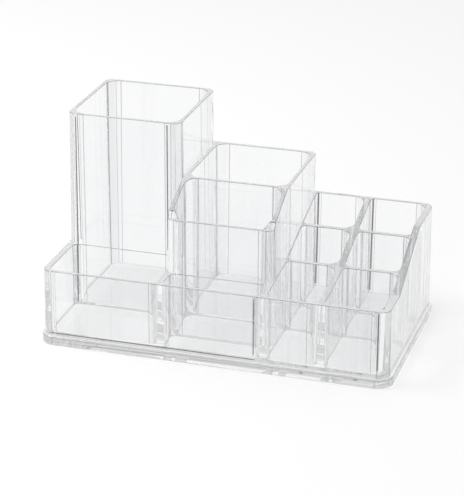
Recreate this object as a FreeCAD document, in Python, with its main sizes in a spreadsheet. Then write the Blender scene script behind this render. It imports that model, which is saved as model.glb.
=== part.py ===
import FreeCAD
import Part
import os
import Sketcher

# A clear stepped organiser in one frame: X to the right, Y to the back and Z up,
# with the origin under the middle of the base. All sizes are in millimetres.
# Outer blocks are hollowed by tapered cavities. The result is then divided at
# seams beside the walls, so that each wall, panel and rib is a piece of its own.

os.makedirs("parts", exist_ok=True)
doc = FreeCAD.newDocument("organiser")
sheet = doc.addObject("Spreadsheet::Sheet", "Sizes")

sizes = {
    # base flange and floor
    "base_width": 222.0,
    "base_depth": 126.0,
    "base_rise": 5.8,
    "base_corner": 10.0,
    "base_edge": 1.0,
    "floor_top": 7.6,
    # outer body, set back from the flange all round
    "flange_overhang": 1.8,
    "body_corner": 7.0,
    "draft_angle": 0.6,
    # heights of the rims
    "tower_rim": 134.0,
    "middle_rim": 98.8,
    "step_slope_height": 86.8,
    "step_rim": 82.8,
    "front_rim": 48.4,
    "cell_front_rim": 53.6,
    "cell_rear_rim": 63.8,
    "back_rim": 72.4,
    # tower and middle block, from the body's left and front faces
    "tower_width": 75.63,
    "tower_setback": 46.55,
    "block_lap": 2.06,
    "middle_span": 66.9,
    "middle_setback": 19.6,
    "middle_corner": 5.5,
    # walls that run front to back, measured at the floor
    "left_wall": 5.2,
    "tray_wall": 2.43,
    "tower_wall": 5.23,
    "centre_wall": 2.42,
    "middle_wall": 4.3,
    "cell_ledge": 0.5,
    "spine_wall": 5.1,
    "spine_shift": 1.75,
    "right_wall": 5.6,
    # walls that run left to right, measured at the floor
    "front_wall": 3.4,
    "nose_ledge": 0.35,
    "tower_nose_wall": 5.22,
    "tower_back_wall": 5.2,
    "step_wall": 4.13,
    "divider_place": 34.2,
    "divider_wall": 4.4,
    "centre_back_wall": 4.5,
    "first_row": 49.2,
    "second_row": 35.5,
    "cell_wall": 3.5,
    "cell_back_wall": 3.9,
    # roundings of the cavities
    "tray_corner": 4.0,
    "tall_corner": 6.7,
    "cell_left_corner": 2.6,
    "cell_right_corner": 6.0,
    "foot_round": 0.8,
    # side view of the rims, front to back
    "front_flat": 3.0,
    "step_flat": 3.8,
    "step_lip": 6.1,
    "middle_flat": 1.0,
    "right_front_flat": 28.2,
    "right_slope_gap": 4.0,
    "right_rim_inset": 0.6,
    # seams between the pieces, and how far the dividing spaces run past the body
    "seam_margin": 2.0,
    "tower_seam": 1.03,
    "nose_seam": 0.05,
    "beyond": 10.0,
}

for row, (name, value) in enumerate(sizes.items(), start=1):
    sheet.set("A%d" % row, name)
    sheet.set("B%d" % row, str(value))
    sheet.setAlias("B%d" % row, name)
doc.recompute()


def size(name):
    return "Sizes." + name


def after(place, name):
    return "(%s) + Sizes.%s" % (place, name)


def before(place, name):
    return "(%s) - Sizes.%s" % (place, name)


def middle_of(low, high):
    return "((%s) + (%s)) / 2" % (low, high)


def plane_of(body, role):
    planes = [feature for feature in body.Origin.OriginFeatures if feature.Role == role]
    return planes[0]


def add_sketch(body, label, role):
    sketch = doc.addObject("Sketcher::SketchObject", label)
    body.addObject(sketch)
    sketch.AttachmentSupport = [(plane_of(body, role), "")]
    sketch.MapMode = "FlatFace"
    return sketch


def bind(sketch, kind, places, name, start, expression):
    index = sketch.addConstraint(Sketcher.Constraint(kind, *places, start))
    sketch.renameConstraint(index, name)
    sketch.setExpression("Constraints." + name, expression)


# a rectangle centred on the body's origin, with two round corners to a side
def rounded_plan(body, label, width, depth, corners):
    sketch = add_sketch(body, label + "_plan", "XY_Plane")
    half_x, half_y, radius = 30.0, 20.0, 3.0
    in_x, in_y = half_x - radius, half_y - radius
    up = FreeCAD.Vector(0, 0, 1)
    ends = [(-in_x, -half_y), (in_x, -half_y), (half_x, -in_y), (half_x, in_y)]
    ends += [(in_x, half_y), (-in_x, half_y), (-half_x, in_y), (-half_x, -in_y)]
    centres = [(in_x, -in_y), (in_x, in_y), (-in_x, in_y), (-in_x, -in_y)]
    for side in range(4):
        start = FreeCAD.Vector(*ends[2 * side], 0)
        end = FreeCAD.Vector(*ends[2 * side + 1], 0)
        sketch.addGeometry(Part.LineSegment(start, end), False)
        circle = Part.Circle(FreeCAD.Vector(*centres[side], 0), up, radius)
        turn = 1.5707963267948966
        arc = Part.ArcOfCircle(circle, (side - 1) * turn, side * turn)
        sketch.addGeometry(arc, False)
    for piece in range(8):
        following = (piece + 1) % 8
        sketch.addConstraint(Sketcher.Constraint("Tangent", piece, 2, following, 1))
    for side, kind in ((0, "Horizontal"), (2, "Vertical"), (4, "Horizontal"), (6, "Vertical")):
        sketch.addConstraint(Sketcher.Constraint(kind, side))
    left_corner, right_corner = corners
    for name, first, second, corner in (("right", 1, 3, right_corner), ("left", 5, 7, left_corner)):
        sketch.addConstraint(Sketcher.Constraint("Equal", first, second))
        bind(sketch, "Radius", (first,), name + "_corner", radius, corner)
    bind(sketch, "DistanceX", (6, 1, 2, 1), "width", 2 * half_x, width)
    bind(sketch, "DistanceX", (6, 1, -1, 1), "half_width", half_x, "(%s) / 2" % width)
    bind(sketch, "DistanceY", (0, 1, 4, 1), "depth", 2 * half_y, depth)
    bind(sketch, "DistanceY", (0, 1, -1, 1), "half_depth", half_y, "(%s) / 2" % depth)
    return sketch


# a rounded block whose sides lean by the taper; a positive one widens it upward
def tapered_block(label, sides, corners, bottom, top, taper):
    left, right, front, back = sides
    body = doc.addObject("PartDesign::Body", label)
    width = "(%s) - (%s)" % (right, left)
    depth = "(%s) - (%s)" % (back, front)
    plan = rounded_plan(body, label, width, depth, corners)
    pad = doc.addObject("PartDesign::Pad", label + "_pad")
    body.addObject(pad)
    pad.Profile = plan
    pad.setExpression("Length", "(%s) - (%s)" % (top, bottom))
    pad.setExpression("TaperAngle", taper)
    body.Tip = pad
    body.setExpression("Placement.Base.x", middle_of(left, right))
    body.setExpression("Placement.Base.y", middle_of(front, back))
    body.setExpression("Placement.Base.z", bottom)
    doc.recompute()
    return body


# names of the feature's edges that lie flat at the given height
def level_edges(feature, height):
    names = []
    for number, edge in enumerate(feature.Shape.Edges, start=1):
        box = edge.BoundBox
        if abs(box.ZMin - height) < 1e-6 and abs(box.ZMax - height) < 1e-6:
            names.append("Edge%d" % number)
    return names


def round_level_edges(body, height, radius):
    pad = body.Tip
    fillet = doc.addObject("PartDesign::Fillet", body.Label + "_round")
    body.addObject(fillet)
    fillet.Base = (pad, level_edges(pad, height))
    fillet.setExpression("Radius", radius)
    body.Tip = fillet
    doc.recompute()


# a prism along X; each corner of its side view is a rough start along Y, its place and its height
def side_profile(label, points, left, right):
    body = doc.addObject("PartDesign::Body", label)
    sketch = add_sketch(body, label + "_side", "YZ_Plane")
    spots = [FreeCAD.Vector(start, sizes.get(height, 0.0), 0) for start, place, height in points]
    count = len(spots)
    for number in range(count):
        line = Part.LineSegment(spots[number], spots[(number + 1) % count])
        sketch.addGeometry(line, False)
    for number in range(count):
        following = (number + 1) % count
        sketch.addConstraint(Sketcher.Constraint("Coincident", number, 2, following, 1))
    for number, (start, place, height) in enumerate(points):
        bind(sketch, "DistanceX", (-1, 1, number, 1), "y%d" % number, start, place)
        if height == "table":
            sketch.addConstraint(Sketcher.Constraint("PointOnObject", number, 1, -1))
        else:
            bind(sketch, "DistanceY", (-1, 1, number, 1), "z%d" % number, sizes[height], size(height))
    pad = doc.addObject("PartDesign::Pad", label + "_pad")
    body.addObject(pad)
    pad.Profile = sketch
    pad.setExpression("Length", "(%s) - (%s)" % (right, left))
    body.Tip = pad
    body.setExpression("Placement.Base.x", left)
    doc.recompute()
    return body


def box(label, sides, bottom, top):
    left, right, front, back = sides
    block = doc.addObject("Part::Box", label)
    block.setExpression("Length", "(%s) - (%s)" % (right, left))
    block.setExpression("Width", "(%s) - (%s)" % (back, front))
    block.setExpression("Height", "(%s) - (%s)" % (top, bottom))
    block.setExpression("Placement.Base.x", left)
    block.setExpression("Placement.Base.y", front)
    block.setExpression("Placement.Base.z", bottom)
    return block


def join(label, shapes):
    fused = doc.addObject("Part::MultiFuse", label)
    fused.Shapes = shapes
    return fused


def overlap(label, shapes):
    common = doc.addObject("Part::MultiCommon", label)
    common.Shapes = shapes
    return common


def subtract(label, base, tool):
    cut = doc.addObject("Part::Cut", label)
    cut.Base = base
    cut.Tool = tool
    return cut


# faces of the outer body at the table
inward = "-Sizes.draft_angle"
outward = size("draft_angle")
table = "0"
body_left = "Sizes.flange_overhang - Sizes.base_width / 2"
body_right = "Sizes.base_width / 2 - Sizes.flange_overhang"
body_front = "Sizes.flange_overhang - Sizes.base_depth / 2"
body_back = "Sizes.base_depth / 2 - Sizes.flange_overhang"
far_left = before(body_left, "beyond")
far_right = after(body_right, "beyond")
far_front = before(body_front, "beyond")
far_back = after(body_back, "beyond")
far_top = after(size("tower_rim"), "beyond")

# faces of the tower and of the middle block at the table
tower_right = after(body_left, "tower_width")
tower_front = after(body_front, "tower_setback")
middle_left = before(tower_right, "block_lap")
middle_right = after(tower_right, "middle_span")
middle_front = after(body_front, "middle_setback")

# faces of the cavities at the floor, left to right
left_inner = after(body_left, "left_wall")
tower_inner_right = before(tower_right, "tower_wall")
tray_right = before(tower_right, "tray_wall")
centre_left = after(tower_right, "centre_wall")
centre_right = before(middle_right, "middle_wall")
cell_left = after(middle_right, "cell_ledge")
right_inner = before(body_right, "right_wall")
spine_centre = before(middle_of(cell_left, right_inner), "spine_shift")
spine_left = before(spine_centre, "spine_wall / 2")
spine_right = after(spine_centre, "spine_wall / 2")

# faces of the cavities at the floor, front to back
front_inner = after(body_front, "front_wall")
slot_back = before(middle_front, "nose_ledge")
step_inner_front = after(middle_front, "step_wall")
tray_back = before(tower_front, "nose_ledge")
tower_inner_front = after(tower_front, "tower_nose_wall")
divider_centre = after(middle_front, "divider_place")
divider_front = before(divider_centre, "divider_wall / 2")
divider_back = after(divider_centre, "divider_wall / 2")
front_row_wall = after(body_front, "first_row")
rear_row_wall = after(front_row_wall, "second_row")
tower_inner_back = before(body_back, "tower_back_wall")
centre_back = before(body_back, "centre_back_wall")
cell_back = before(body_back, "cell_back_wall")

# seams, each one a margin away from the wall it frees
seam_left = after(left_inner, "seam_margin")
seam_tower_side = before(tower_inner_right, "seam_margin")
seam_tray_side = before(tray_right, "seam_margin")
seam_tower_block = before(tower_right, "tower_seam")
seam_centre_left = after(centre_left, "seam_margin")
seam_centre_right = before(centre_right, "seam_margin")
seam_cell_left = after(cell_left, "seam_margin")
seam_spine_left = before(spine_left, "seam_margin")
seam_spine_right = after(spine_right, "seam_margin")
seam_right = before(right_inner, "seam_margin")
seam_front = after(front_inner, "seam_margin")
seam_slot = before(slot_back, "seam_margin")
seam_step = after(step_inner_front, "seam_margin")
seam_tray_back = before(tray_back, "seam_margin")
seam_nose = before(tower_front, "nose_seam")
seam_tower_inside = after(tower_inner_front, "seam_margin")
seam_divider_front = before(divider_front, "seam_margin")
seam_divider_back = after(divider_back, "seam_margin")
seam_back = before(tower_inner_back, "seam_margin")
seam_cell_back = before(cell_back, "seam_margin")

# outer blocks, all leaning inward as they rise
outer_sides = (body_left, body_right, body_front, body_back)
tower_sides = (body_left, tower_right, tower_front, body_back)
middle_sides = (middle_left, middle_right, middle_front, body_back)
body_corners = (size("body_corner"), size("body_corner"))
middle_corners = (size("middle_corner"), size("middle_corner"))
outer = tapered_block("outer_block", outer_sides, body_corners, table, size("tower_rim"), inward)
tower = tapered_block("tower_block", tower_sides, body_corners, table, size("tower_rim"), inward)
middle = tapered_block("middle_block", middle_sides, middle_corners, table, size("middle_rim"), inward)

# side views of the rims: level at the front left, stepped across the ribs,
# and one straight slope along the right wall
low_left_sides = (far_left, seam_centre_right, far_front, far_back)
low_left = box("low_left_height", low_left_sides, table, size("front_rim"))
rib_points = [
    (-71.0, far_front, "table"),
    (71.0, far_back, "table"),
    (71.0, far_back, "back_rim"),
    (57.0, cell_back, "back_rim"),
    (23.0, rear_row_wall, "cell_rear_rim"),
    (-12.0, front_row_wall, "cell_front_rim"),
    (-58.0, after(body_front, "front_flat"), "front_rim"),
    (-71.0, far_front, "front_rim"),
]
right_rim_start = after(right_inner, "right_rim_inset")
ribs_height = side_profile("rib_height", rib_points, seam_centre_right, right_rim_start)
right_points = [
    (-71.0, far_front, "table"),
    (71.0, far_back, "table"),
    (71.0, far_back, "back_rim"),
    (19.0, before(rear_row_wall, "right_slope_gap"), "back_rim"),
    (-33.0, after(body_front, "right_front_flat"), "front_rim"),
    (-71.0, far_front, "front_rim"),
]
right_height = side_profile("right_height", right_points, right_rim_start, far_right)
middle_points = [
    (-71.0, far_front, "table"),
    (71.0, far_back, "table"),
    (71.0, far_back, "middle_rim"),
    (-8.0, before(divider_centre, "middle_flat"), "middle_rim"),
    (-35.0, after(middle_front, "step_lip"), "step_slope_height"),
    (-38.0, after(middle_front, "step_flat"), "step_rim"),
    (-71.0, far_front, "step_rim"),
]
middle_height = side_profile("middle_height", middle_points, far_left, far_right)
heights = join("low_heights", [low_left, ribs_height, right_height])
low = overlap("low_block", [outer, heights])
stepped = overlap("stepped_block", [middle, middle_height])
filler_sides = (seam_tower_side, seam_centre_left, seam_divider_back, far_back)
filler_box = box("corner_filler_box", filler_sides, table, size("middle_rim"))
filler = overlap("corner_filler", [outer, filler_box])
solid = join("solid_block", [low, tower, stepped, filler])

# cavities, all widening as they rise
tall_corners = (size("tall_corner"), size("tall_corner"))
tray_corners = (size("tray_corner"), size("tray_corner"))
cell_corners = (size("cell_left_corner"), size("cell_right_corner"))
tower_inside = (left_inner, tower_inner_right, tower_inner_front, tower_inner_back)
cavities = [
    ("tray_cavity", (left_inner, tray_right, front_inner, tray_back), tray_corners),
    ("tower_cavity", tower_inside, tall_corners),
    ("slot_cavity", (centre_left, centre_right, front_inner, slot_back), tray_corners),
    ("step_cavity", (centre_left, centre_right, step_inner_front, divider_front), tall_corners),
    ("centre_cavity", (centre_left, centre_right, divider_back, centre_back), tall_corners),
]
columns = [(cell_left, spine_left), (spine_right, right_inner)]
rows = [
    (front_inner, before(front_row_wall, "cell_wall / 2")),
    (after(front_row_wall, "cell_wall / 2"), before(rear_row_wall, "cell_wall / 2")),
    (after(rear_row_wall, "cell_wall / 2"), cell_back),
]
for column_number, column in enumerate(columns, start=1):
    for row_number, row_sides in enumerate(rows, start=1):
        name = "cell_cavity_%d_%d" % (column_number, row_number)
        cavities.append((name, column + row_sides, cell_corners))
hollows = []
for name, sides, corners in cavities:
    hollow = tapered_block(name, sides, corners, size("floor_top"), far_top, outward)
    round_level_edges(hollow, 0.0, size("foot_round"))
    hollows.append(hollow)
all_hollows = join("all_hollows", hollows)
shell = subtract("shell", solid, all_hollows)
doc.recompute()

# the base: a flange with a rounded upper edge, with the floor and the rounded feet of the walls
flange_sides = ("-Sizes.base_width / 2", "Sizes.base_width / 2")
flange_sides += ("-Sizes.base_depth / 2", "Sizes.base_depth / 2")
flange_corners = (size("base_corner"), size("base_corner"))
flange = tapered_block("base_flange", flange_sides, flange_corners, table, size("base_rise"), "0")
round_level_edges(flange, sizes["base_rise"], size("base_edge"))
wall_foot = after(size("floor_top"), "foot_round")
floor_sides = (far_left, far_right, far_front, far_back)
floor_box = box("floor_height", floor_sides, table, wall_foot)
floor = overlap("floor_slab", [shell, floor_box])
base_plate = join("base_plate", [flange, floor])

# walls: the part of the shell above their feet, between the seams beside each one
walls = {
    "front_wall": [(far_left, far_right, far_front, seam_front)],
    "tray_side_wall": [(far_left, seam_left, seam_front, seam_nose)],
    "tray_divider": [(seam_tray_side, seam_centre_left, seam_front, seam_slot)],
    "tower_side_wall": [(far_left, seam_left, seam_nose, seam_back)],
    "tower_front_wall": [
        (seam_left, seam_tower_side, seam_tray_back, seam_tower_inside),
        (seam_tower_side, seam_tray_side, seam_tray_back, seam_nose),
    ],
    "tower_inner_wall": [(seam_tower_side, seam_tower_block, seam_nose, seam_back)],
    "tower_back_wall": [(far_left, seam_tower_block, seam_back, far_back)],
    "middle_left_wall": [
        (seam_tray_side, seam_centre_left, seam_slot, seam_nose),
        (seam_tower_block, seam_centre_left, seam_nose, seam_back),
    ],
    "step_wall": [(seam_centre_left, seam_centre_right, seam_slot, seam_step)],
    "middle_divider": [
        (seam_centre_left, seam_centre_right, seam_divider_front, seam_divider_back),
    ],
    "middle_right_wall": [(seam_centre_right, seam_cell_left, seam_slot, seam_back)],
    "middle_back_wall": [(seam_tower_block, seam_cell_left, seam_back, far_back)],
    "slot_divider": [(seam_centre_right, seam_cell_left, seam_front, seam_slot)],
    "cell_spine": [(seam_spine_left, seam_spine_right, seam_front, seam_cell_back)],
    "right_wall": [(seam_right, far_right, seam_front, seam_cell_back)],
    "cell_back_wall": [(seam_cell_left, far_right, seam_cell_back, far_back)],
}
for row_name, row_wall in (("front", front_row_wall), ("rear", rear_row_wall)):
    low_seam = before(row_wall, "cell_wall / 2 - Sizes.seam_margin")
    high_seam = after(row_wall, "cell_wall / 2 + Sizes.seam_margin")
    name = "cell_%s_wall_" % row_name
    walls[name + "left"] = [(seam_cell_left, seam_spine_left, low_seam, high_seam)]
    walls[name + "right"] = [(seam_spine_right, seam_right, low_seam, high_seam)]

pieces = [base_plate]
for name, places in walls.items():
    blocks = []
    for number, sides in enumerate(places, start=1):
        block = box("%s_space_%d" % (name, number), sides, wall_foot, far_top)
        blocks.append(block)
    space = blocks[0] if len(blocks) == 1 else join(name + "_space", blocks)
    pieces.append(overlap(name, [shell, space]))
doc.recompute()

for feature in doc.Objects:
    bad = [word for word in feature.State if word in ("Invalid", "Error")]
    if bad:
        raise RuntimeError("%s: %s" % (feature.Label, bad))

for piece in pieces:
    shape = piece.Shape
    if shape.isNull() or not shape.isValid():
        raise RuntimeError("bad shape: " + piece.Label)
    if len(shape.Solids) != 1:
        raise RuntimeError("%s has %d solids" % (piece.Label, len(shape.Solids)))
    shape.exportStep("parts/%s.step" % piece.Label)
    limits = shape.BoundBox
    spans = (limits.XMin, limits.XMax, limits.YMin, limits.YMax, limits.ZMin, limits.ZMax)
    print(piece.Label, round(shape.Volume, 1), [round(value, 2) for value in spans])
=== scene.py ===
import math

import bmesh
import bpy
from mathutils import Matrix, Vector
from mathutils.bvhtree import BVHTree


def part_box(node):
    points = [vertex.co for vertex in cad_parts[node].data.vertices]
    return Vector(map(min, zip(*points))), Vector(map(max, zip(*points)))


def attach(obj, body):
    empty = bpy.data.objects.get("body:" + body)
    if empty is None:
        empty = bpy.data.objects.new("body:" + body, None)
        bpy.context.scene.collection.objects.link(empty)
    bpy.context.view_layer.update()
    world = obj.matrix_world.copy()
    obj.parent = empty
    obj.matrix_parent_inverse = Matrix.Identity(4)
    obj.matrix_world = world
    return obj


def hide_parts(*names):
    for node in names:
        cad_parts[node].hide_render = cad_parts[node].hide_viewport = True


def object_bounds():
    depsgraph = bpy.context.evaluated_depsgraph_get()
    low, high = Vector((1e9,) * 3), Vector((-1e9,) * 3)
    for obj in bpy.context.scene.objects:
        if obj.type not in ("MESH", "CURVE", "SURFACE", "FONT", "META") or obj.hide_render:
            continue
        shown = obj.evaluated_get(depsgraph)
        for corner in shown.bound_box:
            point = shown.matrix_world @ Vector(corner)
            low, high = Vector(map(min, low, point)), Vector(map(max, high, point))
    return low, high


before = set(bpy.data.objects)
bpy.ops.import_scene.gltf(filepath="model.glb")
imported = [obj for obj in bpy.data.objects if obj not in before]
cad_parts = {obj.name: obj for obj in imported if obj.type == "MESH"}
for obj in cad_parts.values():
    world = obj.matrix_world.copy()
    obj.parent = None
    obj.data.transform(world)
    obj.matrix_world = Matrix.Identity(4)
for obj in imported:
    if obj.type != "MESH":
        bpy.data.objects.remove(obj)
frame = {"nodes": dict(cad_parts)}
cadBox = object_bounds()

scene = bpy.context.scene
scene.view_settings.view_transform = "Standard"

# light crosses up to twenty walls and turns many times inside the ribs, so the paths are long
lightPaths = {
    "max_bounces": 160,
    "transmission_bounces": 160,
    "glossy_bounces": 160,
    "transparent_max_bounces": 64,
}
for name, value in lightPaths.items():
    setattr(scene.cycles, name, value)

# the camera stands in front, a little to the right and above
cameraChoices = {
    "yaw": 16.8322,         # degrees
    "pitch": 22.3015,
    "roll": 0.2849,
    "aim": (-0.0034138, -0.007, 0.0549064),
    "distance": 1.3043787,  # metres from what it aims at
    "lens": 153.58,         # millimetres, as is the sensor
    "sensor": 36.0,
    "nearest": 0.05,
    "farthest": 20.0,
}


def addCamera(choices):
    yaw, pitch, roll = (math.radians(choices[name]) for name in ("yaw", "pitch", "roll"))
    forward = Vector((
        -math.sin(yaw) * math.cos(pitch),
        math.cos(yaw) * math.cos(pitch),
        -math.sin(pitch),
    ))
    side = Vector((math.cos(yaw), math.sin(yaw), 0.0))
    above = side.cross(forward)
    right = side * math.cos(roll) + above * math.sin(roll)
    up = above * math.cos(roll) - side * math.sin(roll)
    place = Vector(choices["aim"]) - forward * choices["distance"]
    data = bpy.data.cameras.new("viewCamera")
    data.lens = choices["lens"]
    data.sensor_width = choices["sensor"]
    data.clip_start = choices["nearest"]
    data.clip_end = choices["farthest"]
    camera = bpy.data.objects.new("viewCamera", data)
    turn = Matrix((right, up, -forward)).transposed().to_4x4()
    camera.matrix_world = Matrix.Translation(place) @ turn
    scene.collection.objects.link(camera)
    scene.camera = camera


addCamera(cameraChoices)
print("camera set")

# one continuous skin round all walls and the base, with rounded rims
skinChoices = {
    "weld": 2e-6,          # closes gaps left by rounding of numbers
    "flat": 0.05,          # degrees; flatter joins become one face
    "sharp": 28.0,         # degrees; keener outward edges are rounded
    "rimRound": 0.0004,    # metres
    "rimSteps": 3,
    "rimProfile": 0.5,     # as round as a circle
    "keepSharp": 50.0,     # degrees; keener corners stay crisp
    "keepBend": 20.0,      # and along the rims so do keener bends
    "rimLevel": 0.8,       # how far up the faces of a rim point at least
    "cutReach": 1e-7,      # points this near a seam lie on it
    "upright": 1e-6,       # how far a seam's face may lean
    "outside": 1e-4,       # faces this near the outside aren't seams
    "boxReach": 1e-3,      # how far outside a node's box its faces may lie
    "tie": 1e-7,           # the first of two nodes as near as this keeps the face
}

# sizes of the moulding, in millimetres, seen from above: left, right, front, back
blockChoices = {
    "draft": 0.6,             # degrees that the walls lean
    "body": (-109.2, 109.2, -61.2, 61.2),
    "tower": (-109.2, -33.57, -14.65, 61.2),
    "middle": (-35.63, 33.33, -41.6, 61.2),
    "bodyCorner": 7.0,
    "middleCorner": 5.5,
    "towerRim": 134.0,
    "notch": (-40.8, -3.2),   # behind this the middle reaches the tower's side
    "rootedAt": 3.0,          # inside the flange
    "beyond": 90.0,           # past every face
    "cornerSteps": 10,
    # where the cutting shapes end under the table, each at its own depth, so that none coincide
    "depths": {"steps": -5.0, "tower": -6.0, "middle": -7.0, "middleRim": -8.0},
}
flangeChoices = {
    "sides": (-111.0, 111.0, -63.0, 63.0),
    "corner": 10.0,
    "rise": 5.8,
    "edge": 1.0,
    "edgeSteps": 5,
}
# side views of the rims as (distance back, height), each over a span from left to right
rimChoices = {
    "low": ((-120.0, 27.03), ((-70.0, 48.4), (70.0, 48.4))),
    "ribs": ((27.03, 104.2), (
        (-70.0, 48.4), (-58.2, 48.4), (-12.0, 53.6), (23.5, 63.8), (57.3, 72.4), (70.0, 72.4),
    )),
    "right": ((104.2, 120.0), ((-70.0, 48.4), (-33.0, 48.4), (19.5, 72.4), (70.0, 72.4))),
    "middle": ((-60.0, 63.9), (
        (-70.0, 82.8), (-37.8, 82.8), (-35.5, 86.8), (-9.4, 98.8), (70.0, 98.8),
    )),
}
hollowChoices = {
    "floor": 7.6,
    "above": 140.0,           # clear of every rim
    "foot": 0.35,             # rounding where the walls meet the floor
    "footSteps": 5,
    # sides, then the rounding of the left and of the right corners
    "places": {
        "tray": ((-104.0, -36.0, -57.8, -15.0), 4.0, 4.0),
        "tower": ((-104.0, -38.8, -9.43, 56.0), 6.7, 6.7),
        "slot": ((-31.15, 29.03, -57.8, -41.95), 4.0, 4.0),
        "step": ((-31.15, 29.03, -37.47, -9.6), 6.7, 6.7),
        "centre": ((-31.15, 29.03, -5.2, 56.7), 6.7, 6.7),
        "cellFrontLeft": ((33.83, 64.415, -57.8, -13.75), 2.6, 6.0),
        "cellFrontRight": ((69.515, 103.6, -57.8, -13.75), 2.6, 6.0),
        "cellMiddleLeft": ((33.83, 64.415, -10.25, 21.75), 2.6, 6.0),
        "cellMiddleRight": ((69.515, 103.6, -10.25, 21.75), 2.6, 6.0),
        "cellRearLeft": ((33.83, 64.415, 25.25, 57.3), 2.6, 6.0),
        "cellRearRight": ((69.515, 103.6, 25.25, 57.3), 2.6, 6.0),
    },
}
milli = 0.001


# a level ring round a rounded rectangle, widened by grow on every side; the left
# corners may be rounder or keener than the right ones
def roundedRing(sides, corners, grow, height, steps):
    left, right, front, back = sides
    left, right, front, back = left - grow, right + grow, front - grow, back + grow
    leftRadius, rightRadius = (corner + grow for corner in corners)
    centres = (
        (right - rightRadius, back - rightRadius, rightRadius),
        (left + leftRadius, back - leftRadius, leftRadius),
        (left + leftRadius, front + leftRadius, leftRadius),
        (right - rightRadius, front + rightRadius, rightRadius),
    )
    ring = []
    for quarter, (x, y, radius) in enumerate(centres):
        for step in range(steps + 1):
            turn = (quarter + step / steps) * math.pi / 2
            ring.append((x + radius * math.cos(turn), y + radius * math.sin(turn), height))
    return ring


# a closed solid from level rings, lowest first
def stackRings(name, rings):
    count = len(rings[0])
    spots = [[value * milli for value in spot] for ring in rings for spot in ring]
    faces = [list(range(count))[::-1]]
    for level in range(len(rings) - 1):
        low, high = level * count, (level + 1) * count
        for number in range(count):
            following = (number + 1) % count
            faces.append([low + number, low + following, high + following, high + number])
    faces.append([(len(rings) - 1) * count + number for number in range(count)])
    mesh = bpy.data.meshes.new(name)
    mesh.from_pydata(spots, [], faces)
    return mesh


def leaningBlock(name, sides, corner, low, high):
    draft = math.tan(math.radians(blockChoices["draft"]))
    steps = blockChoices["cornerSteps"]
    corners = (corner, corner)
    rings = [roundedRing(sides, corners, -draft * height, height, steps) for height in (low, high)]
    return stackRings(name, rings)


# what a raised block keeps of the body: it runs out past the body's left or back face
def leaningGuide(name, sides, corner, low, high, leftNotch=None):
    draft = math.tan(math.radians(blockChoices["draft"]))
    steps, beyond = blockChoices["cornerSteps"], blockChoices["beyond"]
    rings = []
    for height in (low, high):
        ring = roundedRing(sides, (corner, corner), -draft * height, height, steps)
        count = steps + 1
        backEnd, frontStart = ring[count - 1], ring[2 * count]
        outside = [(backEnd[0], beyond, height)]
        if leftNotch is None:
            outside += [(-2 * beyond, beyond, height), (-2 * beyond, frontStart[1], height)]
        else:
            x, y = leftNotch
            outside += [(x, beyond, height), (x, y, height), (frontStart[0], y, height)]
        rings.append(ring[:count] + outside + ring[2 * count:])
    return stackRings(name, rings)


def hollowBlock(name, sides, corners):
    choices = hollowChoices
    lean = math.radians(blockChoices["draft"])
    floor, foot, steps = choices["floor"], choices["foot"], blockChoices["cornerSteps"]
    inset = foot * math.tan(lean) - foot / math.cos(lean)
    rings = []
    for step in range(choices["footSteps"] + 1):
        turn = (math.pi / 2 - lean) * step / choices["footSteps"]
        grow = inset + foot * math.sin(turn)
        rings.append(roundedRing(sides, corners, grow, floor + foot * (1 - math.cos(turn)), steps))
    grow = (choices["above"] - floor) * math.tan(lean)
    rings.append(roundedRing(sides, corners, grow, choices["above"], steps))
    return stackRings(name, rings)


def flangeBlock(name):
    choices = flangeChoices
    sides, edge = choices["sides"], choices["edge"]
    corners = (choices["corner"], choices["corner"])
    steps = blockChoices["cornerSteps"]
    rings = [roundedRing(sides, corners, 0.0, 0.0, steps)]
    for step in range(choices["edgeSteps"] + 1):
        turn = math.pi / 2 * step / choices["edgeSteps"]
        height = choices["rise"] - edge + edge * math.sin(turn)
        rings.append(roundedRing(sides, corners, edge * (math.cos(turn) - 1), height, steps))
    return stackRings(name, rings)


# everything below a rim line, from one side to the other
def rimPrism(name, span, line, foot):
    outline = [(line[-1][0], foot), *reversed(line), (line[0][0], foot)]
    spots = [(x * milli, y * milli, z * milli) for x in span for y, z in outline]
    count = len(outline)
    faces = [list(range(count)), [count + number for number in range(count)][::-1]]
    for number in range(count):
        following = (number + 1) % count
        faces.append([number, number + count, following + count, following])
    mesh = bpy.data.meshes.new(name)
    mesh.from_pydata(spots, [], faces)
    solid = bmesh.new()
    solid.from_mesh(mesh)
    bmesh.ops.recalc_face_normals(solid, faces=solid.faces)
    solid.to_mesh(mesh)
    solid.free()
    return mesh


# the base mesh joined with, kept inside or cut by the others, one after the other
def combine(base, operation, *others):
    holder = bpy.data.objects.new("combineBase", base)
    scene.collection.objects.link(holder)
    tools = []
    for mesh in others:
        tool = bpy.data.objects.new("combineTool", mesh)
        scene.collection.objects.link(tool)
        step = holder.modifiers.new("combine", "BOOLEAN")
        step.operation, step.object, step.solver = operation, tool, "EXACT"
        tools.append(tool)
    done = bpy.data.meshes.new_from_object(
        holder.evaluated_get(bpy.context.evaluated_depsgraph_get())
    )
    for thing in [holder, *tools]:
        data = thing.data
        bpy.data.objects.remove(thing)
        bpy.data.meshes.remove(data)
    return tidied(done)


# welds what rounding of numbers left apart and joins faces that lie flat together
def tidied(mesh):
    solid = bmesh.new()
    solid.from_mesh(mesh)
    bmesh.ops.remove_doubles(solid, verts=solid.verts, dist=skinChoices["weld"])
    bmesh.ops.dissolve_degenerate(solid, dist=skinChoices["weld"] / 2, edges=solid.edges)
    flat = math.radians(skinChoices["flat"])
    bmesh.ops.dissolve_limit(solid, angle_limit=flat, verts=solid.verts, edges=solid.edges)
    solid.to_mesh(mesh)
    solid.free()
    return mesh


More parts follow.
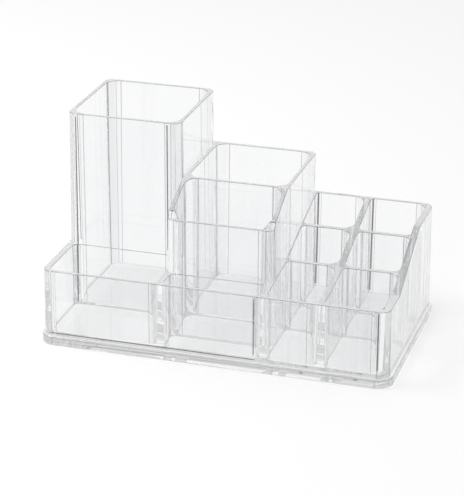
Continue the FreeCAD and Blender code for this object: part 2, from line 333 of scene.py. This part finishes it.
# the whole clear body as one mesh: a block cut to its steps, set on a flange and hollowed
def moulding():
    blocks, rims = blockChoices, rimChoices
    corner, middleCorner, tall = blocks["bodyCorner"], blocks["middleCorner"], blocks["towerRim"]
    depths = blocks["depths"]
    prisms = [
        rimPrism(name + "Rim", *rims[name], depths["steps"]) for name in ("low", "ribs", "right")
    ]
    steps = combine(prisms[0], "UNION", *prisms[1:])
    low = depths["tower"]
    tower = leaningGuide("towerGuide", blocks["tower"], corner, low, tall - low)
    low = depths["middle"]
    middle = leaningGuide(
        "middleGuide", blocks["middle"], middleCorner, low, tall - low, blocks["notch"],
    )
    middleRim = rimPrism("middleRim", *rims["middle"], depths["middleRim"])
    middle = combine(middle, "INTERSECT", middleRim)
    steps = combine(steps, "UNION", tower, middle)
    body = leaningBlock("bodyBlock", blocks["body"], corner, blocks["rootedAt"], tall)
    solid = combine(body, "INTERSECT", steps)
    solid = combine(solid, "UNION", flangeBlock("flange"))
    hollows = [
        hollowBlock(name + "Hollow", sides, corners)
        for name, (sides, *corners) in hollowChoices["places"].items()
    ]
    return combine(solid, "DIFFERENCE", *hollows)


# where the nodes meet: their only upright faces without draft
def seamPlanes(nodes, choices):
    planes = {0: set(), 1: set()}
    for node in nodes.values():
        for face in node.data.polygons:
            for axis in planes:
                if abs(face.normal[axis]) > 1 - choices["upright"]:
                    planes[axis].add(round(face.center[axis], 6))
    reach = {0: cadBox[1][0], 1: cadBox[1][1]}
    return [
        (axis, value)
        for axis, values in planes.items()
        for value in sorted(values)
        if abs(abs(value) - reach[axis]) > choices["outside"]
    ]


def roundedSkin(nodes, choices):
    mesh = moulding()
    skin = bmesh.new()
    skin.from_mesh(mesh)
    bpy.data.meshes.remove(mesh)
    keen = math.radians(choices["sharp"])
    rims = [edge for edge in skin.edges if edge.calc_face_angle_signed(0) > keen]
    bmesh.ops.bevel(
        skin, geom=rims, offset=choices["rimRound"], offset_type="OFFSET",
        segments=choices["rimSteps"], profile=choices["rimProfile"], affect="EDGES",
        clamp_overlap=False, loop_slide=True,
    )
    wallFoot = min(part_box(name)[0][2] for name in nodes if name != "base_plate")
    for axis, value in seamPlanes(nodes, choices) + [(2, wallFoot)]:
        normal = [0.0, 0.0, 0.0]
        normal[axis] = 1.0
        spot = [value * part for part in normal]
        everything = list(skin.verts) + list(skin.edges) + list(skin.faces)
        bmesh.ops.bisect_plane(
            skin, geom=everything, dist=choices["cutReach"], plane_co=spot, plane_no=normal,
        )
    for edge in skin.edges:
        alongRim = all(face.normal.z > choices["rimLevel"] for face in edge.link_faces)
        crisp = choices["keepBend"] if alongRim else choices["keepSharp"]
        edge.smooth = edge.calc_face_angle(0) < math.radians(crisp)
    for face in skin.faces:
        face.smooth = True
    return skin


def nearestNode(trees, boxes, spot, choices):
    best, found = math.inf, None
    reach = choices["boxReach"]
    for name, tree in trees.items():
        low, high = boxes[name]
        if any(spot[i] < low[i] - reach or spot[i] > high[i] + reach for i in range(3)):
            continue
        distance = tree.find_nearest(spot)[3]
        if distance < best - choices["tie"]:
            best, found = distance, name
    return found


# the node that each face of the skin belongs to, by its largest triangle's middle
def faceOwners(skin, nodes, choices):
    trees, boxes = {}, {}
    for name, node in nodes.items():
        spots = [vertex.co for vertex in node.data.vertices]
        faces = [tuple(face.vertices) for face in node.data.polygons]
        trees[name] = BVHTree.FromPolygons(spots, faces)
        boxes[name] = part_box(name)
    largest = {}
    for corners in skin.calc_loop_triangles():
        a, b, c = (corner.vert.co for corner in corners)
        area = (b - a).cross(c - a).length
        index = corners[0].face.index
        if index not in largest or area > largest[index][0]:
            largest[index] = (area, (a + b + c) / 3)
    owners = {}
    for index, (area, middle) in largest.items():
        owners.setdefault(nearestNode(trees, boxes, middle, choices), []).append(index)
    return owners


def weightedMesh(skin):
    mesh = bpy.data.meshes.new("skin")
    skin.to_mesh(mesh)
    holder = bpy.data.objects.new("skinHolder", mesh)
    scene.collection.objects.link(holder)
    weigh = holder.modifiers.new("weigh", "WEIGHTED_NORMAL")
    weigh.keep_sharp = True
    weigh.mode = "FACE_AREA"
    done = bpy.data.meshes.new_from_object(
        holder.evaluated_get(bpy.context.evaluated_depsgraph_get())
    )
    bpy.data.objects.remove(holder)
    bpy.data.meshes.remove(mesh)
    return done


def makePieces(nodes, choices):
    skin = roundedSkin(nodes, choices)
    skin.faces.ensure_lookup_table()
    skin.faces.index_update()
    owners = faceOwners(skin, nodes, choices)
    whole = weightedMesh(skin)
    skin.free()
    normals = [tuple(corner.vector) for corner in whole.corner_normals]
    places = [tuple(vertex.co) for vertex in whole.vertices]
    pieces = {}
    for name, indices in owners.items():
        numbers, spots, faces, turned = {}, [], [], []
        for index in indices:
            face = whole.polygons[index]
            corners = []
            for vertex, loop in zip(face.vertices, face.loop_indices):
                if vertex not in numbers:
                    numbers[vertex] = len(spots)
                    spots.append(places[vertex])
                corners.append(numbers[vertex])
                turned.append(normals[loop])
            faces.append(corners)
        mesh = bpy.data.meshes.new(name + "Skin")
        mesh.from_pydata(spots, [], faces)
        mesh.polygons.foreach_set("use_smooth", [True] * len(faces))
        mesh.normals_split_custom_set(turned)
        piece = bpy.data.objects.new(name + "Skin", mesh)
        scene.collection.objects.link(piece)
        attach(piece, "root")
        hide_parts(name)
        pieces[name] = piece
    bpy.data.meshes.remove(whole)
    return pieces


pieces = makePieces(frame["nodes"], skinChoices)
print("pieces made:", len(pieces))


def newMaterial(name):
    material = bpy.data.materials.new(name)
    material.use_nodes = True
    nodes = material.node_tree.nodes
    nodes.clear()
    return material, nodes, material.node_tree.links


plasticChoices = {
    "clear": (0.962, 0.965, 0.968, 1.0),
    "cloudy": (0.945, 0.949, 0.953, 1.0),   # slow drifts of the melt through the flats
    "driftScale": 14.0,
    "rimShade": (0.66, 0.665, 0.675, 1.0),       # painted shade: the rim tops greyed a little
    "corner": (0.86, 0.865, 0.872, 1.0),    # painted shade: the rounded upright corners, greyed too
    "edge": (0.12, 0.122, 0.126, 1.0),      # painted shade: the thin rounded edges of the rims, darkened
    "line": (0.3, 0.302, 0.31, 1.0),        # painted shade: thin dark lines where flats turn into roundings and round the flange
    "creaseShade": (0.04, 0.041, 0.044, 1.0),    # painted shade: keen corners and creases darkened nearly to black
    "rimAbove": 0.0095,                     # metres; below it are the floors and the flange
    "cornerFrom": 0.08,
    "cornerTo": 0.4,
    "handled": 0.004,                       # roughness where it has been handled
    "handledScale": 55.0,
    "waveScale": 22.0,
    "waveStrength": 0.05,
    "waveDepth": 0.0004,
    "bend": 1.49,
    "lampColour": (0.7, 0.7, 0.7, 1.0),     # what each surface lets through of the lamp
}
# where the painted shade lies; levels and turns are parts of the direction that a face points in
paintedShadeChoices = {
    # the boxes that hold the painted crease shade, lowest and highest corner, in millimetres
    "creaseShadeBoxes": (
        ((34.0, 55.5, 9.5), (34.9, 58.2, 80.0)),          # back corners of the rear cells
        ((69.7, 55.5, 9.5), (70.6, 58.2, 80.0)),
        ((-44.0, -11.0, 50.0), (-43.2, -8.5, 132.0)),     # tower, inside front right
        ((-109.2, -10.5, 48.0), (-107.2, -9.6, 132.0)),   # tower, outside front left
        ((-102.4, -16.0, 9.5), (-101.7, -13.0, 132.0)),
        ((-36.4, 55.6, 99.0), (-34.0, 56.5, 132.0)),      # tower, outside back right
        ((101.4, -57.8, 9.5), (102.0, -55.0, 46.0)),      # front corners of cells and slot
        ((25.6, -58.4, 9.5), (26.2, -56.5, 46.0)),
        ((-104.0, -61.4, 7.3), (27.0, -60.6, 7.9)),       # foot of the front wall
    ),
    "flangeShadeLines": ((-1.0, 0.4), (2.5, 2.8), (4.6, 5.0)),    # heights of painted shade lines round the flange
    "upright": 0.5,             # faces that point up less than this bear the painted shade lines
    # the slants at which a thin painted shade line starts, is full, fades and is gone, on
    # roundings next to front and back faces and next to side faces
    "turns": (("Y", 0.015, 0.04, 0.07, 0.12), ("X", 0.15, 0.21, 0.29, 0.35)),
    "facing": 0.9,              # how squarely such a rounding points that way at least
    "edges": (0.15, 0.35),      # how far up the rounded edges, painted dark as shade, point at least
    "shadedTops": (0.8, 0.92),        # and the flat tops, painted grey as shade
    "lip": (0.48, 0.52),        # the steep lip over the step is a flat that leans like an edge
    "lipAside": 0.02,           # and hardly points aside
    "drifts": (0.35, 0.7),      # the parts of the noises that show
    "smears": (0.5, 0.75),
    "driftDetail": 3.0,
    "smearDetail": 5.0,
    "waveDetail": 1.0,
}
colourInputs = {
    "Clear": "clear", "Cloudy": "cloudy", "Rim": "rimShade", "Edge": "edge", "Corner Shade": "corner",
    "Line": "line", "Crease Shade": "creaseShade",
}
numberInputs = {
    "Drift Scale": "driftScale", "Rim Above": "rimAbove",
    "Corner From": "cornerFrom", "Corner To": "cornerTo",
    "Handled": "handled", "Handled Scale": "handledScale",
    "Wave Scale": "waveScale", "Wave Strength": "waveStrength", "Wave Depth": "waveDepth",
}


def mathNode(nodes, links, operation, *values):
    node = nodes.new("ShaderNodeMath")
    node.operation = operation
    for socket, value in zip(node.inputs, values):
        if isinstance(value, (int, float)):
            socket.default_value = value
        else:
            links.new(value, socket)
    return node.outputs[0]


def productNode(nodes, links, *shares):
    whole = shares[0]
    for share in shares[1:]:
        whole = mathNode(nodes, links, "MULTIPLY", whole, share)
    return whole


# 1 between two limits and 0 elsewhere
def betweenNode(nodes, links, value, low, high):
    above = mathNode(nodes, links, "GREATER_THAN", value, low)
    return productNode(nodes, links, above, mathNode(nodes, links, "LESS_THAN", value, high))


def rangeNode(nodes, links, value, fromMin, fromMax, toMin, toMax):
    node = nodes.new("ShaderNodeMapRange")
    node.interpolation_type = "SMOOTHSTEP"
    for name, number in (
        ("From Min", fromMin), ("From Max", fromMax), ("To Min", toMin), ("To Max", toMax),
    ):
        node.inputs[name].default_value = number
    links.new(value, node.inputs["Value"])
    return node.outputs["Result"]


def noiseNode(nodes, links, where, scale, detail):
    node = nodes.new("ShaderNodeTexNoise")
    node.inputs["Detail"].default_value = detail
    links.new(where, node.inputs["Vector"])
    links.new(scale, node.inputs["Scale"])
    return node.outputs["Fac"]


# of the node's sockets for every kind of value, inputs 6 and 7 and output 2 are the colours
def mixColour(nodes, links, share, first, second):
    node = nodes.new("ShaderNodeMix")
    node.data_type = "RGBA"
    links.new(share, node.inputs["Factor"])
    links.new(first, node.inputs[6])
    links.new(second, node.inputs[7])
    return node.outputs[2]


# painted shade: the upright corners' grey, and the thin dark lines where flats turn into them
def cornerShadeColour(nodes, links, given, facing, flats, choices):
    slant = mathNode(nodes, links, "ABSOLUTE", productNode(nodes, links, facing["X"], facing["Y"]))
    span = mathNode(nodes, links, "SUBTRACT", given["Corner To"], given["Corner From"])
    past = mathNode(nodes, links, "SUBTRACT", slant, given["Corner From"])
    share = mathNode(nodes, links, "DIVIDE", past, span)
    # painted shade: upright corners greyed by how far they turn aside
    corner = rangeNode(nodes, links, share, 0.0, 1.0, 0.0, 1.0)
    cornerShaded = mixColour(nodes, links, corner, flats, given["Corner Shade"])
    turns = []
    for axis, start, full, fading, gone in choices["turns"]:
        size = mathNode(nodes, links, "ABSOLUTE", facing[axis])
        turns.append(productNode(
            nodes, links, mathNode(nodes, links, "GREATER_THAN", size, choices["facing"]),
            rangeNode(nodes, links, slant, start, full, 0.0, 1.0),
            rangeNode(nodes, links, slant, fading, gone, 1.0, 0.0),
        ))
    # painted shade: thin dark lines on the roundings next to the flats
    shadeLines = mathNode(nodes, links, "MAXIMUM", *turns)
    return mixColour(nodes, links, shadeLines, cornerShaded, given["Line"])


# painted shade on the rims' rounded edges and flat tops, dark lines round the flange and the
# creases
def rimShadeColour(nodes, links, given, facing, place, lineShaded, choices):
    level = mathNode(nodes, links, "ABSOLUTE", facing["Z"])
    raised = mathNode(nodes, links, "GREATER_THAN", place["Z"], given["Rim Above"])
    aside = mathNode(nodes, links, "ABSOLUTE", facing["X"])
    lip = productNode(
        nodes, links, mathNode(nodes, links, "LESS_THAN", aside, choices["lipAside"]),
        betweenNode(nodes, links, level, *choices["lip"]),
    )
    # painted shade: the rounded edges of the raised rims darkened nearly to black, except the
    # steep lip
    edges = productNode(
        nodes, links, rangeNode(nodes, links, level, *choices["edges"], 0.0, 1.0), raised,
        mathNode(nodes, links, "SUBTRACT", 1.0, lip),
    )
    colour = mixColour(nodes, links, edges, lineShaded, given["Edge"])
    upright = mathNode(nodes, links, "LESS_THAN", level, choices["upright"])
    # painted shade: dark lines on the upright faces round the flange at set heights
    for low, high in choices["flangeShadeLines"]:
        inside = betweenNode(nodes, links, place["Z"], low * milli, high * milli)
        share = productNode(nodes, links, inside, upright)
        colour = mixColour(nodes, links, share, colour, given["Line"])
    # painted shade: the listed crease boxes darkened nearly to black
    for low, high in choices["creaseShadeBoxes"]:
        share = productNode(nodes, links, *(
            betweenNode(nodes, links, place[axis], least * milli, most * milli)
            for axis, least, most in zip("XYZ", low, high)
        ))
        colour = mixColour(nodes, links, share, colour, given["Crease Shade"])
    # painted shade: the flat tops of the raised rims mixed toward the grey rim colour
    shadedTops = rangeNode(nodes, links, level, *choices["shadedTops"], 0.0, 1.0)
    return mixColour(nodes, links, productNode(nodes, links, shadedTops, raised), colour, given["Rim"])


# moulded clear plastic's slow drifts and faint waves, with painted shade: greyer rims and corners,
# dark edges, lines and creases
def mouldedAndShadeGroup(choices):
    group = bpy.data.node_groups.new("mouldedClearAndShade", "ShaderNodeTree")
    sockets = group.interface
    for name in colourInputs:
        sockets.new_socket(name, in_out="INPUT", socket_type="NodeSocketColor")
    for name in numberInputs:
        sockets.new_socket(name, in_out="INPUT", socket_type="NodeSocketFloat")
    for name, kind in (("Colour", "Color"), ("Roughness", "Float"), ("Normal", "Vector")):
        sockets.new_socket(name, in_out="OUTPUT", socket_type="NodeSocket" + kind)
    nodes, links = group.nodes, group.links
    given = nodes.new("NodeGroupInput").outputs
    out = nodes.new("NodeGroupOutput").inputs
    where = nodes.new("ShaderNodeTexCoord").outputs["Object"]
    facing = nodes.new("ShaderNodeSeparateXYZ")
    links.new(nodes.new("ShaderNodeNewGeometry").outputs["Normal"], facing.inputs["Vector"])
    place = nodes.new("ShaderNodeSeparateXYZ")
    links.new(where, place.inputs["Vector"])

    drift = noiseNode(nodes, links, where, given["Drift Scale"], choices["driftDetail"])
    drifts = rangeNode(nodes, links, drift, *choices["drifts"], 0.0, 1.0)
    flats = mixColour(nodes, links, drifts, given["Clear"], given["Cloudy"])
    lineShaded = cornerShadeColour(nodes, links, given, facing.outputs, flats, choices)
    colour = rimShadeColour(nodes, links, given, facing.outputs, place.outputs, lineShaded, choices)
    links.new(colour, out["Colour"])

    smear = noiseNode(nodes, links, where, given["Handled Scale"], choices["smearDetail"])
    smears = rangeNode(nodes, links, smear, *choices["smears"], 0.0, 1.0)
    links.new(productNode(nodes, links, smears, given["Handled"]), out["Roughness"])

    bump = nodes.new("ShaderNodeBump")
    links.new(given["Wave Strength"], bump.inputs["Strength"])
    links.new(given["Wave Depth"], bump.inputs["Distance"])
    wave = noiseNode(nodes, links, where, given["Wave Scale"], choices["waveDetail"])
    links.new(wave, bump.inputs["Height"])
    links.new(bump.outputs["Normal"], out["Normal"])
    return group


def clearPlastic(name, choices, shadeChoices):
    material, nodes, links = newMaterial(name)
    varied = nodes.new("ShaderNodeGroup")
    varied.node_tree = mouldedAndShadeGroup(shadeChoices)
    for socket, choice in {**colourInputs, **numberInputs}.items():
        varied.inputs[socket].default_value = choices[choice]
    shader = nodes.new("ShaderNodeBsdfPrincipled")
    shader.inputs["Transmission Weight"].default_value = 1.0
    shader.inputs["IOR"].default_value = choices["bend"]
    links.new(varied.outputs["Colour"], shader.inputs["Base Color"])
    links.new(varied.outputs["Roughness"], shader.inputs["Roughness"])
    links.new(varied.outputs["Normal"], shader.inputs["Normal"])
    through = nodes.new("ShaderNodeBsdfTransparent")   # lets the lamp through for the shadow
    through.inputs["Color"].default_value = choices["lampColour"]
    paths = nodes.new("ShaderNodeLightPath")
    mix = nodes.new("ShaderNodeMixShader")
    out = nodes.new("ShaderNodeOutputMaterial")
    links.new(paths.outputs["Is Shadow Ray"], mix.inputs["Fac"])
    links.new(shader.outputs["BSDF"], mix.inputs[1])
    links.new(through.outputs["BSDF"], mix.inputs[2])
    links.new(mix.outputs["Shader"], out.inputs["Surface"])
    return material


plastic = clearPlastic("clearMouldedPlastic", plasticChoices, paintedShadeChoices)
for piece in pieces.values():
    piece.data.materials.append(plastic)
print("plastic assigned")

tableChoices = {
    "reach": 3.0,
    "colour": (0.9, 0.9, 0.9, 1.0),
    "roughness": 0.7,
    "white": 0.5,           # share of plain white in what the camera sees
    "whiteThrough": 0.82,   # and in what shows through the plastic
    "nearEdge": 0.45,       # where the white round the object starts to darken, in the plastic
    "farEdge": 0.9,
    "farLevel": 0.12,
    "gap": 0.0003,          # thin air under the object
}


def addTable(choices):
    reach = choices["reach"]
    mesh = bpy.data.meshes.new("tableTop")
    corners = [(-reach, -reach, 0), (reach, -reach, 0), (reach, reach, 0), (-reach, reach, 0)]
    mesh.from_pydata(corners, [], [(0, 1, 2, 3)])
    table = bpy.data.objects.new("tableTop", mesh)
    table.location.z = -choices["gap"]
    scene.collection.objects.link(table)
    material, nodes, links = newMaterial("paleTable")
    shader = nodes.new("ShaderNodeBsdfPrincipled")
    shader.inputs["Base Color"].default_value = choices["colour"]
    shader.inputs["Roughness"].default_value = choices["roughness"]
    paths = nodes.new("ShaderNodeLightPath")
    white = nodes.new("ShaderNodeEmission")
    around = nodes.new("ShaderNodeEmission")
    where = nodes.new("ShaderNodeTexCoord")
    span = nodes.new("ShaderNodeVectorMath")
    span.operation = "LENGTH"
    links.new(where.outputs["Object"], span.inputs[0])
    level = rangeNode(
        nodes, links, span.outputs["Value"],
        choices["nearEdge"], choices["farEdge"], 1.0, choices["farLevel"],
    )
    links.new(level, around.inputs["Strength"])
    seenMix = nodes.new("ShaderNodeMixShader")
    links.new(paths.outputs["Is Camera Ray"], seenMix.inputs["Fac"])
    links.new(around.outputs["Emission"], seenMix.inputs[1])
    links.new(white.outputs["Emission"], seenMix.inputs[2])
    bent = mathNode(
        nodes, links, "MAXIMUM",
        paths.outputs["Is Glossy Ray"], paths.outputs["Is Transmission Ray"],
    )
    far = rangeNode(
        nodes, links, span.outputs["Value"],
        choices["nearEdge"], choices["farEdge"], choices["whiteThrough"], 1.0,
    )
    bentShare = productNode(nodes, links, bent, far)
    seenShare = mathNode(
        nodes, links, "MULTIPLY", paths.outputs["Is Camera Ray"], choices["white"],
    )
    share = mathNode(nodes, links, "MAXIMUM", bentShare, seenShare)
    mix = nodes.new("ShaderNodeMixShader")
    out = nodes.new("ShaderNodeOutputMaterial")
    links.new(share, mix.inputs["Fac"])
    links.new(shader.outputs["BSDF"], mix.inputs[1])
    links.new(seenMix.outputs["Shader"], mix.inputs[2])
    links.new(mix.outputs["Shader"], out.inputs["Surface"])
    mesh.materials.append(material)


addTable(tableChoices)

worldChoices = {
    "level": 0.62,          # light that the surroundings give
    "band": 0.9,            # bright walls of the room, low down, as the plastic shows them
    "bandFrom": 0.35,       # how far up it starts to turn into the ceiling
    "bandTo": 0.6,
    "top": 0.8,             # greyer ceiling
}


def addWorld(choices):
    world = bpy.data.worlds.new("studio")
    scene.world = world
    world.use_nodes = True
    nodes, links = world.node_tree.nodes, world.node_tree.links
    nodes.clear()
    plain = nodes.new("ShaderNodeBackground")
    plain.inputs["Color"].default_value = (1.0, 1.0, 1.0, 1.0)
    plain.inputs["Strength"].default_value = choices["level"]
    seen = nodes.new("ShaderNodeBackground")
    where = nodes.new("ShaderNodeTexCoord")
    parts = nodes.new("ShaderNodeSeparateXYZ")
    links.new(where.outputs["Generated"], parts.inputs["Vector"])
    level = rangeNode(
        nodes, links, parts.outputs["Z"],
        choices["bandFrom"], choices["bandTo"], choices["band"], choices["top"],
    )
    links.new(level, seen.inputs["Strength"])
    paths = nodes.new("ShaderNodeLightPath")
    bent = mathNode(
        nodes, links, "MAXIMUM",
        paths.outputs["Is Glossy Ray"], paths.outputs["Is Transmission Ray"],
    )
    mix = nodes.new("ShaderNodeMixShader")
    out = nodes.new("ShaderNodeOutputWorld")
    links.new(bent, mix.inputs["Fac"])
    links.new(plain.outputs["Background"], mix.inputs[1])
    links.new(seen.outputs["Background"], mix.inputs[2])
    links.new(mix.outputs["Shader"], out.inputs["Surface"])


addWorld(worldChoices)

lampChoices = {
    "place": (-0.9, -0.2, 1.3),
    "aim": (0.0, 0.0, 0.05),
    "size": 0.6,
    "power": 17.5,          # watts
}


def addLamp(name, choices):
    data = bpy.data.lights.new(name, "AREA")
    data.shape = "SQUARE"
    data.size = choices["size"]
    data.energy = choices["power"]
    lamp = bpy.data.objects.new(name, data)
    lamp.location = choices["place"]
    towards = Vector(choices["aim"]) - Vector(choices["place"])
    lamp.rotation_euler = towards.to_track_quat("-Z", "Y").to_euler()
    lamp.visible_transmission = False   # the plastic's shadow stands for what it lets through
    scene.collection.objects.link(lamp)


addLamp("softLeft", lampChoices)
print("lit")
